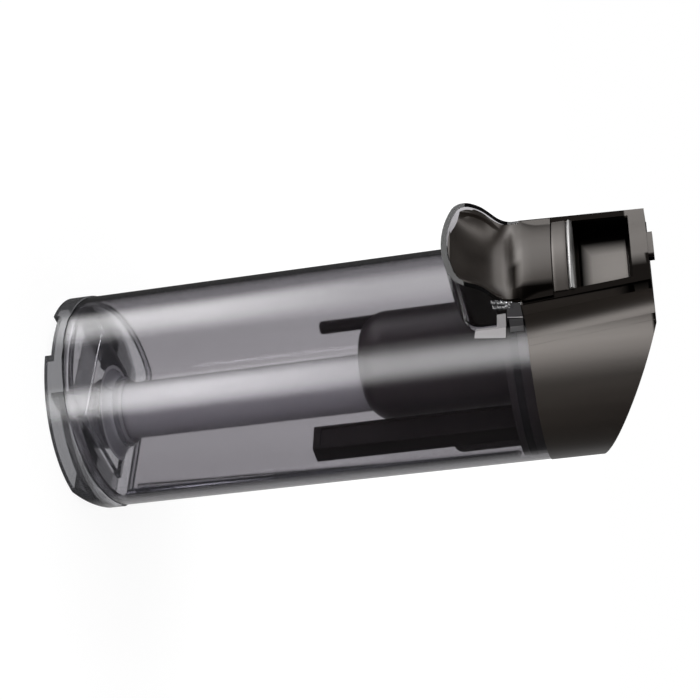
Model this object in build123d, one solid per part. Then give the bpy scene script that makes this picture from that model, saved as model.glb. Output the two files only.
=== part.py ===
from build123d import *
import os
from math import atan2, cos, degrees, radians, tan

# Dirty water tank of an upright floor washer: a clear D-shaped tank, its riser pipe,
# and the dark head that lifts off with its hood, float, filter and latch.
# Millimetres. +Z runs from the base to the head, -Y is the side of the finger scoop.
# Pieces are drawn about the axis of the tank and stored about the axis of the inlet.

# Driving dimensions of the tank
body_radius = 50.3        # outside of the round front and sides
back_room = 20.3          # the flat back lies this far inside the full circle
back_depth = body_radius - back_room      # from the tank's axis to its flat back
back_corner = 8.0         # outer radius of the two back corners
tank_wall = 2.4
rim_height = 218.0        # seam between tank and head
cut_reach = 4 * body_radius   # size of the blocks that only cut

# Hood and pipe, which fill the middle of the tank
hood_offset = -0.6
hood_wall = 1.6
hood_gap = 2.8            # between the hood and the back wall
hood_radius = back_depth - tank_wall - hood_gap - hood_offset
hood_drop = 81.0
hood_low = rim_height - hood_drop
hood_round = 13.0
hood_window_width = 22.0
hood_window_drop = 60.0
hood_window_low = rim_height - hood_window_drop
hood_window_height = 42.0
hood_window_high = hood_window_low + hood_window_height
hood_window_corner = 4.0
riser_radius = 13.6
riser_wall = 1.8
riser_drop = 22.0         # the pipe's mouth lies this far under the seam
riser_top = rim_height - riser_drop
riser_gap = 0.4           # between the pipe and the back of the hood
riser_offset = hood_offset + hood_radius - hood_wall - riser_gap - riser_radius

# Rails on the back wall
rail_radius = 1.5         # rounded rails on the inside of the flat back
rail_low_x = 31.5         # the rails spread apart from the base to the head
rail_high_x = 36.0
rail_sunk = 0.5           # the rails' middle lines lie this far inside the wall
rail_ends = 2.0           # from the base's inner rim and from the plug

# Base
band_proud = 0.6          # the base's band stands this far out of the tank's wall
joint_height = 13.0       # height of the weld line at the tank's axis
joint_tilt = 5.7          # degrees, the weld line rises to the back
floor_height = 12.5       # inside floor
floor_thickness = 2.5
floor_bite = 0.5          # the floor reaches this far into the base's wall
bevel_start = 2.0         # the bevel begins this far behind the axis
bevel_tilt = 18.4         # degrees
spigot_wall = 1.8
spigot_rise = 3.0         # the base's inner rim stands this far into the tank
deck_half = 27.0          # the raised middle of the floor ends here on both sides
deck_drop = 5.0           # the floor's side pockets lie this much lower
rib_thickness = 1.8
rib_lift = 1.5            # ribs end this far above the skirt's edge
cross_rib_y = -20.0
flare_reach = 7.4         # a hollow fillet round the sleeve: its width and its height
flare_rise = 6.0
flare_top = 1.4           # thickness at its upper edge
flare_hollow = 0.28       # where its middle lies between the two edges
tab_width = 24.0          # notch in the front of the skirt
tab_height = 3.0

# Inlet
inlet_radius = 11.4       # bore that the machine's duct meets, a step under the pipe
inlet_length = 10.0       # plain bore below the pipe
socket_wall = 1.9         # around the pipe
socket_top = 20.0
seal_height = 3.0
seal_low = 3.0
seal_depth = 0.6          # depth of the groove for the ring
seal_proud = 1.5

# Finger scoop
lip_half_width = 25.0
lip_drop = 31.0           # from the seam to the lip's lowest point
lip_low = rim_height - lip_drop
lip_bow = 7.0             # the lip's bottom sags by this much in the middle
lip_corner_height = lip_low + lip_bow
lip_corner = 9.0
lip_proud = 23.7          # how far the lip reaches out of the tank's wall
lip_reach = body_radius + lip_proud
lip_root = 20.0           # the lip's blocks begin this far in front of the axis
liner_gap = 0.4
liner_set_back = 1.2      # the liner stays this far behind the lip's edge
scoop_side = 2.0          # thickness of the liner's cheeks
scoop_corner = 8.0
scoop_floor = 0.8         # thickness of the liner under the scoop's front
scoop_edge = lip_reach - 3.0      # the scoop's surface: its reach at the lip and at the neck
scoop_deep = body_radius + 1.7
liner_notch_drop = 11.5   # the liner's cheeks are cut away above this, next to the tank
liner_notch_low = rim_height - liner_notch_drop
liner_notch_reach = body_radius + 4.2
scoop_power = 2.2
scoop_sections = 5

# Float
float_drop = 104.3
float_low = rim_height - float_drop
chamber_room = 15.9
chamber_x = body_radius - chamber_room
chamber_y = 7.4
chamber_width = 12.8
chamber_depth = 9.8
chamber_recess = 0.9
chamber_border = 1.6
rod_radius = 3.2
rod_room = 20.3
rod_x = rod_room - body_radius
float_travel = 6.0
yoke_gap = 0.3            # the yoke rests this far above the plate
yoke_thickness = 3.0
yoke_width = 13.0
disc_boss_radius = 8.0
disc_boss_height = 2.0
disc_radius = 13.0
disc_thickness = 2.0
valve_y = 3.0
seat_gap = 0.3            # left between disc and seat when the float is up
seat_bore = 10.5
seat_wall = 1.8
seat_height = 1.7
valve_plate_thickness = 2.0
yoke_low = rim_height + yoke_gap
disc_top = yoke_low + yoke_thickness + disc_boss_height + disc_thickness      # at rest
valve_plate_low = disc_top + float_travel + seat_gap + seat_height
valve_plate_top = valve_plate_low + valve_plate_thickness

# Head
head_proud = 0.3
head_radius = body_radius + head_proud
head_height = 54.0
head_top = rim_height + head_height
head_wall = 2.6
nose_wall = 3.4
nose_reach_low = body_radius + 6.7    # front edges of the two cheeks, at the seam and at the top
nose_reach_high = body_radius + 7.9
nose_half_high = 20.8     # half width at the top
crease_reach = head_radius - 9.6      # the top is flat up to here, then falls to the back
roof_room = 5.0           # between the valve plate and the low end of the head's top
roof_back_height = valve_plate_top + roof_room
roof_hollow = 0.445       # how much of the fall is left at the slope's middle point
roof_mid_height = roof_back_height + roof_hollow * (head_top - roof_back_height)
roof_mid_reach = 6.0
roof_margin = 20.0        # the cutting outline runs this far past the head
trough_depth = head_radius - 2.1      # floor of the recess between the cheeks
neck_height = 14.0
neck_top = rim_height + neck_height
ring_height = 6.4
ring_top = neck_top + ring_height
trim_height = 2.5
trim_top = ring_top + trim_height
end_band = 7.0            # between the pocket and the head's end
pocket_top = head_top - end_band
neck_front = body_radius + 8.0
neck_curve = 28.0
ring_proud = 1.2
trim_proud = 0.9
neck_fillet = 5.0
cheek_gap = 0.15          # between the neck's pieces and the cheeks
key_half_width = 7.5
key_height = 2.4
key_thickness = 3.2
key_reach = nose_reach_high - 2.2

# Plug and seal
plug_drop = 11.0
plug_low = rim_height - plug_drop
plug_gap = 0.5
plug_wall = 2.0
plug_plate = 3.0          # thickness of the plate
collar_height = 4.0
plug_collar_top = rim_height + collar_height
collar_wall = 1.8
fit_gap = 0.1             # between pieces of the same body
rim_seal_rise = 3.0       # above the plug's lower edge
rim_seal_low = plug_low + rim_seal_rise
rim_seal_height = 3.4
rim_seal_high = rim_seal_low + rim_seal_height
rim_seal_depth = 1.2
rim_seal_gap = 0.3
grille_slots = 6
grille_pitch = 6.4
grille_slot = 3.6
grille_length = 13.0
grille_reach = 34.5
running_gap = 0.5         # round what slides
screw_radius = 1.5
screw_head_radius = 2.8
screw_head = 1.8
screw_length = 9.0
cross_length = 3.2
cross_width = 0.8
boss_radius = 3.4
boss_web = 2.4
boss_web_length = 12.0
screw_room = 13.3
screw_side_x = body_radius - screw_room
screw_side_y = 17.0
screw_back_x = 26.0
screw_back_y = back_depth - 9.0
guide_gap = 0.8           # plate behind the float's chamber
guide_thickness = 1.8
guide_width = 11.0
guide_shift = 1.9         # its middle lies this far outside the chamber's
guide_drop = 42.0
guide_low = rim_height - guide_drop
guide_corner = 5.0

# Filter in the slanted top
filter_crease = 29.0      # from the crease to the filter's middle
filter_reach = crease_reach - filter_crease
filter_width = 52.0
filter_length = 40.0
filter_depth = 10.0
filter_wall = 1.6
flange_margin = 3.0
flange_corner = 2.5
flange_thickness = 1.8
flange_gap = 0.4
bay_frame = 3.0
bay_depth = 5.0
gasket_thickness = 0.8
pleat_count = 9
pleat_inset = 0.3
pleat_sheet = 1.4
bar_count = 10
bar_width = 1.2
tab_length = 18.0
tab_rise = 4.0
tab_wall = 2.0

# Latch panel
panel_gap = 0.5
panel_proud = 0.8
panel_margin = 1.6        # rim of the pocket's floor around the panel
panel_lip = 1.4           # the panel's flange reaches this far behind the rim
panel_lip_gap = 0.3
panel_lip_thickness = 1.0
spring_radius = 2.6
spring_wire = 0.7
spring_turns = 4
spring_length = 7.0
spring_spacing = 20.0
bracket_thickness = 1.5
bracket_height = 11.0
bracket_arm = 2.0


def tall(face, low, high):
    """Extrudes a plan face between two heights."""
    return Pos(0, 0, low) * extrude(face, high - low)


def block(x0, x1, y0, y1, z0, z1):
    """A box between two corners."""
    return Pos((x0 + x1) / 2, (y0 + y1) / 2, (z0 + z1) / 2) * Box(x1 - x0, y1 - y0, z1 - z0)


def d_face(radius, back, corner):
    """Round front and sides, flat back, rounded back corners."""
    face = Circle(radius) - Pos(0, back + radius) * Rectangle(4 * radius, 2 * radius)
    return fillet(face.vertices().sort_by(Axis.Y)[-2:], corner)


def inset_d(inset):
    """The tank's section, moved inwards by a distance."""
    return d_face(body_radius - inset, back_depth - inset, back_corner - inset)


def head_d(inset):
    """The head's section, moved inwards by a distance."""
    back = back_depth + head_radius - body_radius
    return d_face(head_radius - inset, back - inset, back_corner - inset)


def below_joint(rise):
    """All that lies under the tilted weld plane, raised by a distance."""
    slab = Box(cut_reach, cut_reach, cut_reach, align=(Align.CENTER, Align.CENTER, Align.MAX))
    return Pos(0, 0, joint_height + rise) * Rot(joint_tilt, 0, 0) * slab


def under_bevel():
    """What the bevel takes off the back of the base."""
    slab = Box(cut_reach, cut_reach, cut_reach, align=(Align.CENTER, Align.MIN, Align.MAX))
    return Pos(0, bevel_start, 0) * Rot(bevel_tilt, 0, 0) * slab


def across(face, half):
    """Extrudes a face of the YZ plane to both sides."""
    return extrude(Plane.YZ * face, half, both=True)


# Outlines seen from the front and from the side

def lip_front_face(inset, top):
    """Front view of the lip: upright cheeks and a gently curved bottom."""
    half = lip_half_width
    low = ThreePointArc((-half, lip_corner_height), (0, lip_low), (half, lip_corner_height))
    rest = Polyline((half, lip_corner_height), (half, top), (-half, top), (-half, lip_corner_height))
    face = make_face([low, rest])
    face = fillet(face.vertices().group_by(Axis.Y)[0], lip_corner)
    if inset > 0:
        face = offset(face, -inset) + Pos(0, top - inset) * Rectangle(2 * (half - inset), 4 * inset)
    return face


def lip_side_face(set_back):
    """Side view of the lip: its edge swings out from the seam to the lip's full reach."""
    seam = (-nose_reach_low, rim_height)
    waist = (-nose_reach_low - 1.5, rim_height - 7.0)
    shoulder = (-(nose_reach_low + lip_reach) / 2 - 2.5, rim_height - 14.5)
    full = (-lip_reach + 1.0, lip_corner_height + 1.0)
    foot = (-lip_reach, lip_low - 1.0)
    edge = Spline(seam, waist, shoulder, full, foot)
    rest = Polyline(foot, (-lip_root, lip_low - 1.0), (-lip_root, rim_height), seam)
    return Pos(set_back, 0) * make_face([edge, rest])


def roof_face(drop):
    """Side view of the head: flat at the front, then a hollow slope to the back."""
    front = -nose_reach_high - roof_margin
    crease = (-crease_reach, head_top)
    back = (back_depth + 1.0, roof_back_height)
    slope = ThreePointArc(crease, (-roof_mid_reach, roof_mid_height), back)
    beyond = back[0] + roof_margin
    fall = roof_margin * tan(radians(roof_tilt()))
    rest = Polyline(back, (beyond, back[1] - fall), (beyond, 0), (front, 0), (front, head_top), crease)
    return Pos(0, -drop) * make_face([slope, rest])


def nose_block(inset, front_extra, low, high, back):
    """The head's front, narrower towards the top, moved inwards by a distance."""
    span = head_top - rim_height
    sections = []
    for z in (low, high):
        share = (z - rim_height) / span
        half = lip_half_width + (nose_half_high - lip_half_width) * share - inset
        reach = nose_reach_low + (nose_reach_high - nose_reach_low) * share + front_extra
        face = Pos(0, -(reach + back) / 2) * Rectangle(2 * half, reach - back)
        sections.append(Pos(0, 0, z) * face)
    return loft(sections, ruled=True)


# Tank

def make_tank_shell():
    tube = tall(inset_d(0) - inset_d(tank_wall), 0, rim_height) - below_joint(0)
    outline = extrude(Plane.XZ.offset(lip_root) * lip_front_face(0, rim_height), lip_reach)
    hollow = extrude(Plane.XZ.offset(lip_root) * lip_front_face(tank_wall, rim_height), lip_reach)
    lip = outline & across(lip_side_face(0), lip_half_width + 5)
    lip = lip - hollow - tall(Circle(body_radius - tank_wall / 2), 0, head_top)
    return tube + lip + rails()


def rails():
    """Two rounded rails on the inside of the flat back."""
    low = joint_height + spigot_rise + back_depth * tan(radians(joint_tilt)) + rail_ends
    high = plug_low - rail_ends
    turn = degrees(atan2(rail_high_x - rail_low_x, high - low))
    x, y = (rail_low_x + rail_high_x) / 2, back_depth - tank_wall + rail_sunk
    both = Part()
    for side in (-1, 1):
        rail = Rot(0, side * turn, 0) * Cylinder(rail_radius, high - low)
        both += Pos(side * x, y, (low + high) / 2) * rail
    return both


def make_base_cap():
    bore = riser_radius + socket_wall + fit_gap
    inner = tank_wall + fit_gap
    hollow = inner + spigot_wall
    outer = tall(inset_d(-band_proud), 0, rim_height) & below_joint(0)
    spigot = tall(inset_d(inner), 0, rim_height) & below_joint(spigot_rise)
    cap = outer + spigot - tall(inset_d(hollow), -1, rim_height)
    middle = Pos(0, riser_offset)
    within = tall(inset_d(hollow - floor_bite), 0, floor_height + flare_rise)
    cap += (base_floor() + flare(bore)) & within
    above_seal = seal_low + seal_height + 1.0
    ring = tall(middle * (Circle(bore + 2.0) - Circle(bore)), above_seal, floor_height)
    room = tall(middle * Circle(riser_radius + socket_wall + seal_proud + 1.0), -5, above_seal)
    cap = cap + ring - tall(middle * Circle(bore), -5, rim_height) - room - under_bevel()
    notch = block(-tab_width / 2, tab_width / 2, -body_radius - 5, -body_radius + 12, -1, tab_height)
    return cap - notch


def base_floor():
    """Raised deck on three ribs, with a lower floor on each side that follows the bevel."""
    low = floor_height - deck_drop
    sides = block(-cut_reach, cut_reach, -cut_reach, cut_reach, low - floor_thickness, low)
    sides += Pos(0, 0, floor_thickness / cos(radians(bevel_tilt))) * under_bevel()
    inner = deck_half - rib_thickness
    sides -= block(-inner, inner, -cut_reach, cut_reach, -cut_reach, cut_reach)
    bottom = sides & tall(Circle(cut_reach), 0, floor_height)
    deck_low = floor_height - floor_thickness
    bottom += block(-deck_half, deck_half, -cut_reach, cut_reach, deck_low, floor_height)
    for side in (-1, 1):
        rib = Box(rib_thickness, cut_reach, floor_height - rib_lift)
        bottom += Pos(side * (deck_half - rib_thickness / 2), 0, (floor_height + rib_lift) / 2) * rib
    front = cross_rib_y - rib_thickness
    return bottom + block(-deck_half, deck_half, front, cross_rib_y, rib_lift, floor_height)


def flare(bore):
    """Hollow fillet between the floor and the sleeve of the pipe."""
    inner, outer = bore, bore + flare_top + flare_reach
    high = floor_height + flare_rise
    middle = (bore + flare_top + flare_hollow * flare_reach, floor_height + flare_hollow * flare_rise)
    sweep_in = ThreePointArc((outer, floor_height), middle, (bore + flare_top, high))
    rest = Polyline((bore + flare_top, high), (inner, high), (inner, floor_height - floor_thickness),
                    (outer, floor_height - floor_thickness), (outer, floor_height))
    return Pos(0, riser_offset) * revolve(Plane.XZ * make_face([sweep_in, rest]), Axis.Z)


def make_inlet_socket():
    outer = riser_radius + socket_wall
    seat = riser_radius + fit_gap
    sleeve = Cylinder(outer, socket_top, align=(Align.CENTER, Align.CENTER, Align.MIN))
    sleeve -= Cylinder(inlet_radius, 2 * inlet_length)
    sleeve -= tall(Circle(seat), inlet_length, socket_top + 5)
    groove = Pos(0, 0, seal_low + seal_height / 2) * (
        Cylinder(outer + 5, seal_height) - Cylinder(outer - seal_depth, seal_height + 1))
    return Pos(0, riser_offset) * (sleeve - groove)


def make_inlet_seal():
    inner = riser_radius + socket_wall - seal_depth + fit_gap / 2
    outer = riser_radius + socket_wall + seal_proud
    half = seal_height / 2 - fit_gap / 2
    profile = make_face(Polyline((inner, -half), (outer - 0.9, -half), (outer, 0), (outer - 0.9, half),
                                 (inner, half), (inner, -half)))
    ring = revolve(Plane.XZ * profile, Axis.Z)
    return Pos(0, riser_offset, seal_low + seal_height / 2) * ring


def make_riser_tube():
    pipe = Circle(riser_radius) - Circle(riser_radius - riser_wall)
    tube = tall(pipe, inlet_length, riser_top)
    rim = tube.edges().filter_by(GeomType.CIRCLE).group_by(Axis.Z)[-1]
    return Pos(0, riser_offset) * fillet(rim, 0.6)


# Head

def make_head_housing():
    body = tall(head_d(0), rim_height, head_top + 5)
    body += nose_block(0, 0, rim_height, head_top, lip_root)
    body &= across(roof_face(0), cut_reach)
    cavity = tall(head_d(head_wall), rim_height - 1, head_top + 5) & across(roof_face(head_wall), cut_reach)
    floor_back = trough_depth - head_wall
    cavity -= block(-cut_reach, cut_reach, -cut_reach, -floor_back, rim_height - 10, head_top + 10)
    body -= cavity
    body -= nose_block(nose_wall, cut_reach, rim_height - 1, pocket_top, trough_depth)
    within = across(roof_face(0), cut_reach) & tall(head_d(1.0), valve_plate_top + fit_gap, head_top)
    body += filter_frame_plane() * bay_block() & within
    body -= filter_frame_plane() * bay_cut()
    for x, y in screw_places():
        body += boss(x, y)
    half, low, high = panel_window()
    body -= block(-half, half, -trough_depth - 1, -trough_depth + head_wall + 1, low, high)
    bay = latch_bay_half() + fit_gap
    bay_back = -panel_back() + spring_length + bracket_thickness + fit_gap
    body -= block(-bay, bay, -floor_back, bay_back, low - panel_lip, high + panel_lip)
    key_front, key_back = -key_reach - key_thickness / 2, -key_reach + key_thickness / 2
    key = block(-key_half_width, key_half_width, key_front, key_back, head_top - 1, head_top + key_height)
    return body + fillet(key.edges().filter_by(Axis.Z), 1.0)


def screw_places():
    """Where the screws stand: two at the sides, two at the back corners."""
    right = ((screw_side_x, -screw_side_y), (screw_back_x, screw_back_y))
    return [(side * x, y) for side in (-1, 1) for x, y in right]


def boss(x, y):
    """Post for a screw between plug and valve plate, tied to the wall by a web."""
    top = valve_plate_low
    post = Pos(x, y) * (Circle(boss_radius) - Circle(screw_radius - fit_gap))
    post = tall(post, rim_height, top)
    turn = degrees(atan2(y, x))
    middle = Pos(boss_radius - 1.0 + boss_web_length / 2, 0)
    web = Rot(0, 0, turn) * middle * Rectangle(boss_web_length, boss_web)
    web = tall(Pos(x, y) * web, plug_collar_top + running_gap, top) - post
    return post + (web & tall(head_d(1.0), rim_height, top))


def filter_frame_plane():
    """Moves a piece drawn flat to its place on the slope."""
    return Pos(0, -filter_reach, filter_middle_height()) * Rot(-roof_tilt(), 0, 0)


def roof_tilt():
    """Slope of the head's top towards the back, in degrees."""
    return degrees(atan2(head_top - roof_back_height, crease_reach + back_depth + 1.0))


def filter_middle_height():
    """Height of the flange's outer face on the filter's middle line."""
    return roof_mid_height + (filter_reach - roof_mid_reach) * tan(radians(roof_tilt())) - 0.6


def bay_block():
    """Thick frame round the filter's bay."""
    wide = filter_width + 2 * (flange_margin + bay_frame)
    long = filter_length + 2 * (flange_margin + bay_frame)
    return Box(wide, long, bay_depth + 6, align=(Align.CENTER, Align.CENTER, Align.CENTER))


def bay_cut():
    """Recess for the flange and hole for the filter."""
    wide = filter_width + 2 * (flange_margin + flange_gap)
    long = filter_length + 2 * (flange_margin + flange_gap)
    depth = flange_thickness + gasket_thickness + fit_gap
    recess = Box(wide, long, 2 * filter_depth, align=(Align.CENTER, Align.CENTER, Align.MIN))
    hole = Box(filter_width + 2 * running_gap, filter_length + 2 * running_gap, 6 * filter_depth)
    return Pos(0, 0, -depth) * recess + hole


def panel_window():
    """Half width, low edge and high edge of the opening for the latch panel."""
    share = (pocket_top - rim_height) / (head_top - rim_height)
    half = lip_half_width + (nose_half_high - lip_half_width) * share - nose_wall - panel_margin
    return half, trim_top + panel_margin, pocket_top - panel_margin


def make_grip_liner():
    face = lip_front_face(tank_wall + liner_gap, rim_height)
    outline = extrude(Plane.XZ.offset(lip_root) * face, lip_reach)
    piece = outline & across(lip_side_face(liner_set_back), lip_half_width)
    piece -= tall(Circle(body_radius + liner_gap), 0, head_top)
    half = lip_half_width - tank_wall - liner_gap - scoop_side
    low = lip_low + tank_wall + liner_gap + scoop_floor
    sections = []
    for k in range(scoop_sections):
        share = k / (scoop_sections - 1)
        reach = scoop_deep + (scoop_edge - scoop_deep) * (1 - share) ** scoop_power
        beyond = lip_reach + 2 * scoop_corner
        face = Pos(0, -(reach + beyond) / 2) * RectangleRounded(2 * half, beyond - reach, scoop_corner)
        sections.append(Pos(0, 0, low + (rim_height + 3 - low) * share) * face)
    notch = block(-cut_reach, cut_reach, -liner_notch_reach, 0, liner_notch_low, rim_height + 1)
    notch -= block(-half, half, -cut_reach, 0, liner_notch_low - 1, rim_height + 2)
    return piece - loft(sections) - notch


def neck_piece(proud, low, high):
    """A slice of the convex front between the two cheeks."""
    disc = Pos(0, neck_curve - neck_front) * Circle(neck_curve + proud)
    room = nose_block(nose_wall + cheek_gap, cut_reach, low, high, trough_depth)
    return tall(disc, low, high) & room


def make_grip_neck():
    neck = neck_piece(0, rim_height, neck_top)
    lower = neck.edges().filter_by(GeomType.CIRCLE).group_by(Axis.Z)[0]
    return fillet(lower, neck_fillet)


def behind_trough():
    """All that lies behind the wall of the recess between the cheeks."""
    return block(-cut_reach, cut_reach, fit_gap - trough_depth + head_wall, cut_reach, 0, head_top)


def float_guide():
    """Plate that hangs behind the float's chamber, with rounded lower corners."""
    y0 = chamber_y + chamber_depth / 2 + guide_gap
    x = chamber_x + guide_shift
    x0, x1 = x - guide_width / 2, x + guide_width / 2
    plate = block(x0, x1, y0, y0 + guide_thickness, guide_low, rim_height - plug_plate / 2)
    return fillet(plate.edges().filter_by(Axis.Y).group_by(Axis.Z)[0], guide_corner)


def make_lid_plug():
    skirt_inset = tank_wall + plug_gap
    plug = tall(inset_d(skirt_inset) - inset_d(skirt_inset + plug_wall), plug_low, rim_height)
    plug += tall(inset_d(skirt_inset), rim_height - plug_plate, rim_height)
    collar = head_d(head_wall + fit_gap) - head_d(head_wall + fit_gap + collar_wall)
    collar = tall(collar, rim_height, plug_collar_top)
    plug += collar & behind_trough()
    groove = inset_d(skirt_inset - 1) - inset_d(skirt_inset + rim_seal_depth)
    plug -= tall(groove, rim_seal_low, rim_seal_high)
    low, high = plug_low - 1, plug_collar_top + 1
    plug -= tall(Pos(chamber_x, chamber_y) * Rectangle(chamber_width + 2 * running_gap,
                                                       chamber_depth + 2 * running_gap), low, high)
    plug -= tall(Pos(rod_x, 0) * Circle(rod_radius + running_gap), low, high)
    for k in range(grille_slots):
        x = (k - (grille_slots - 1) / 2) * grille_pitch
        plug -= tall(Pos(x, -grille_reach) * SlotOverall(grille_length, grille_slot, rotation=90), low, high)
    for x, y in screw_places():
        plug -= tall(Pos(x, y) * Circle(screw_radius + fit_gap), low, high)
    return plug + float_guide()


def make_rim_seal():
    outer = inset_d(tank_wall + rim_seal_gap)
    inner = inset_d(tank_wall + plug_gap + rim_seal_depth - fit_gap)
    return tall(outer - inner, rim_seal_low + fit_gap / 2, rim_seal_high - fit_gap / 2)


def make_plug_screws():
    screws = Part()
    under = rim_height - plug_plate
    for x, y in screw_places():
        head = Cylinder(screw_head_radius, screw_head, align=(Align.CENTER, Align.CENTER, Align.MAX))
        slot = Box(cross_length, cross_width, screw_head)
        cross = Pos(0, 0, -screw_head) * (slot + Rot(0, 0, 90) * slot)
        shank = tall(Circle(screw_radius - 2 * fit_gap), 0, screw_length)
        screws += Pos(x, y, under) * (head + shank - cross)
    return screws


def make_separator_hood():
    top = rim_height - plug_plate
    middle = Pos(0, hood_offset)
    outer = tall(middle * Circle(hood_radius), hood_low, top)
    inner = tall(middle * Circle(hood_radius - hood_wall), hood_low + hood_wall, top)
    outer = fillet(outer.edges().filter_by(GeomType.CIRCLE).group_by(Axis.Z)[0], hood_round)
    inner = fillet(inner.edges().filter_by(GeomType.CIRCLE).group_by(Axis.Z)[0], hood_round - hood_wall)
    hood = outer - inner
    passage = Pos(0, riser_offset) * Circle(riser_radius + running_gap)
    hood -= tall(passage, hood_low - 5, hood_low + hood_round)
    y0, y1 = hood_offset - hood_window_width / 2, hood_offset + hood_window_width / 2
    window = block(-cut_reach, -hood_radius / 2, y0, y1, hood_window_low, hood_window_high)
    window = fillet(window.edges().filter_by(Axis.X), hood_window_corner)
    return hood - window


def make_float_chamber():
    half_x, half_y = chamber_width / 2, chamber_depth / 2
    body = block(-half_x, half_x, -half_y, half_y, float_low, yoke_low)
    body = fillet(body.edges().filter_by(Axis.Z), 0.8)
    edge = chamber_border
    recess = block(-half_x + edge, half_x - edge, -half_y - 1, -half_y + chamber_recess,
                   float_low + 2 * edge, rim_height - plug_plate - edge)
    return Pos(chamber_x, chamber_y) * (body - recess)


def make_float_rod():
    rod = tall(Circle(rod_radius), float_low, yoke_low)
    return Pos(rod_x, 0) * fillet(rod.edges().group_by(Axis.Z)[0], 1.4)


def make_float_yoke():
    low = yoke_low
    pad_x, pad_y = chamber_width / 2 + 1.0, chamber_depth / 2 + 1.0
    bar = Pos((chamber_x + rod_x) / 2, valve_y) * Rectangle(chamber_x - rod_x, yoke_width)
    plan = bar + Pos(chamber_x, chamber_y) * Rectangle(2 * pad_x, 2 * pad_y)
    plan += Pos(rod_x, 0) * Circle(rod_radius + 1.6)
    yoke = tall(plan, low, low + yoke_thickness)
    return yoke + tall(Pos(0, valve_y) * Circle(disc_boss_radius), low, disc_top - disc_thickness)


def make_float_seal():
    disc = tall(Pos(0, valve_y) * Circle(disc_radius), disc_top - disc_thickness, disc_top)
    return fillet(disc.edges().group_by(Axis.Z)[-1], 0.6)


def make_valve_plate():
    low = valve_plate_low
    plate = tall(head_d(head_wall + fit_gap), low, low + valve_plate_thickness)
    plate &= behind_trough()
    seat = Pos(0, valve_y) * Circle(seat_bore + seat_wall)
    plate += tall(seat, low - seat_height, low)
    return plate - tall(Pos(0, valve_y) * Circle(seat_bore), low - 5, low + 5)


def filter_plan():
    """Outline of the filter's flange and of its gasket."""
    wide, long = filter_width + 2 * flange_margin, filter_length + 2 * flange_margin
    return RectangleRounded(wide, long, flange_corner)


def make_filter_frame():
    wide, long = filter_width, filter_length
    box = Pos(0, 0, -filter_depth / 2) * Box(wide, long, filter_depth)
    hollow = Box(wide - 2 * filter_wall, long - 2 * filter_wall, filter_depth + 2)
    box -= Pos(0, 0, -filter_depth / 2) * hollow
    flange = filter_plan()
    step = (wide - 2 * filter_wall) / bar_count
    for k in range(bar_count):
        x = (k - (bar_count - 1) / 2) * step
        flange -= Pos(x, 0) * Rectangle(step - bar_width, long - 4 * filter_wall)
    flange = tall(flange, -flange_thickness, 0)
    tab = Pos(0, -long / 2 + 2 * filter_wall, tab_rise / 2 - 0.2) * Box(tab_length, tab_wall, tab_rise + 0.4)
    tab = fillet(tab.edges().filter_by(Axis.Y).group_by(Axis.Z)[-1], 1.5)
    return filter_frame_plane() * (box + flange + tab)


def make_filter_pleats():
    low, high = -filter_depth + 1.0, -flange_thickness - fit_gap
    span = filter_length - 2 * (filter_wall + pleat_inset)
    step = span / pleat_count
    upper, lower = [], []
    for k in range(2 * pleat_count + 1):
        y = -span / 2 + k * step / 2
        crest = k % 2
        upper.append((y, high if crest else low + pleat_sheet))
        lower.append((y, high - pleat_sheet if crest else low))
    sheet = make_face(Polyline(upper + lower[::-1] + upper[:1]))
    half = filter_width / 2 - filter_wall - pleat_inset
    return filter_frame_plane() * across(sheet, half)


def make_filter_gasket():
    ring = filter_plan()
    ring -= Rectangle(filter_width + 2 * fit_gap, filter_length + 2 * fit_gap)
    return filter_frame_plane() * tall(ring, -flange_thickness - gasket_thickness, -flange_thickness)


def panel_back():
    """The panel's back face, as a distance in front of the axis."""
    return trough_depth - head_wall - panel_lip_gap - panel_lip_thickness


def make_latch_panel():
    half, low, high = panel_window()
    front = trough_depth + panel_proud
    back = panel_back()
    face = block(-half + panel_gap, half - panel_gap, -front, -back, low + panel_gap, high - panel_gap)
    face = fillet(face.edges().group_by(Axis.Y)[0], 0.6)
    lip = block(-half - panel_lip, half + panel_lip, -back - panel_lip_thickness, -back,
                low - panel_lip + 1.0, high + panel_lip - 1.0)
    return face + lip


def spring_places():
    low, high = panel_window()[1:]
    return [(side * spring_spacing / 2, (low + high) / 2) for side in (-1, 1)]


def make_latch_spring(x, z):
    wire = spring_wire / 2
    height = spring_length - spring_wire - 0.1
    path = Helix(pitch=height / spring_turns, height=height, radius=spring_radius - wire)
    section = Plane(origin=path @ 0, z_dir=path % 0) * Rectangle(spring_wire, spring_wire)
    coil = sweep(section, path=path, is_frenet=True)
    return Pos(x, -panel_back() + wire + 0.05, z) * Rot(-90, 0, 0) * coil


def latch_bay_half():
    """Half width of the bracket behind the panel."""
    return panel_window()[0] + panel_lip + running_gap + bracket_arm


def make_latch_bracket():
    front = panel_back() - spring_length
    wall = trough_depth - head_wall
    middle = spring_places()[0][1]
    outer = latch_bay_half()
    inner = outer - bracket_arm
    low, high = middle - bracket_height / 2, middle + bracket_height / 2
    bracket = block(-outer, outer, -front, -front + bracket_thickness, low, high)
    for side in (-1, 1):
        x0, x1 = sorted((side * inner, side * outer))
        bracket += block(x0, x1, -wall, -front, low, high)
    return bracket


def save(name, piece):
    """Stores a piece about the inlet's axis."""
    export_step(Pos(0, -riser_offset, 0) * piece, os.path.join("parts", name + ".step"))


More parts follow.
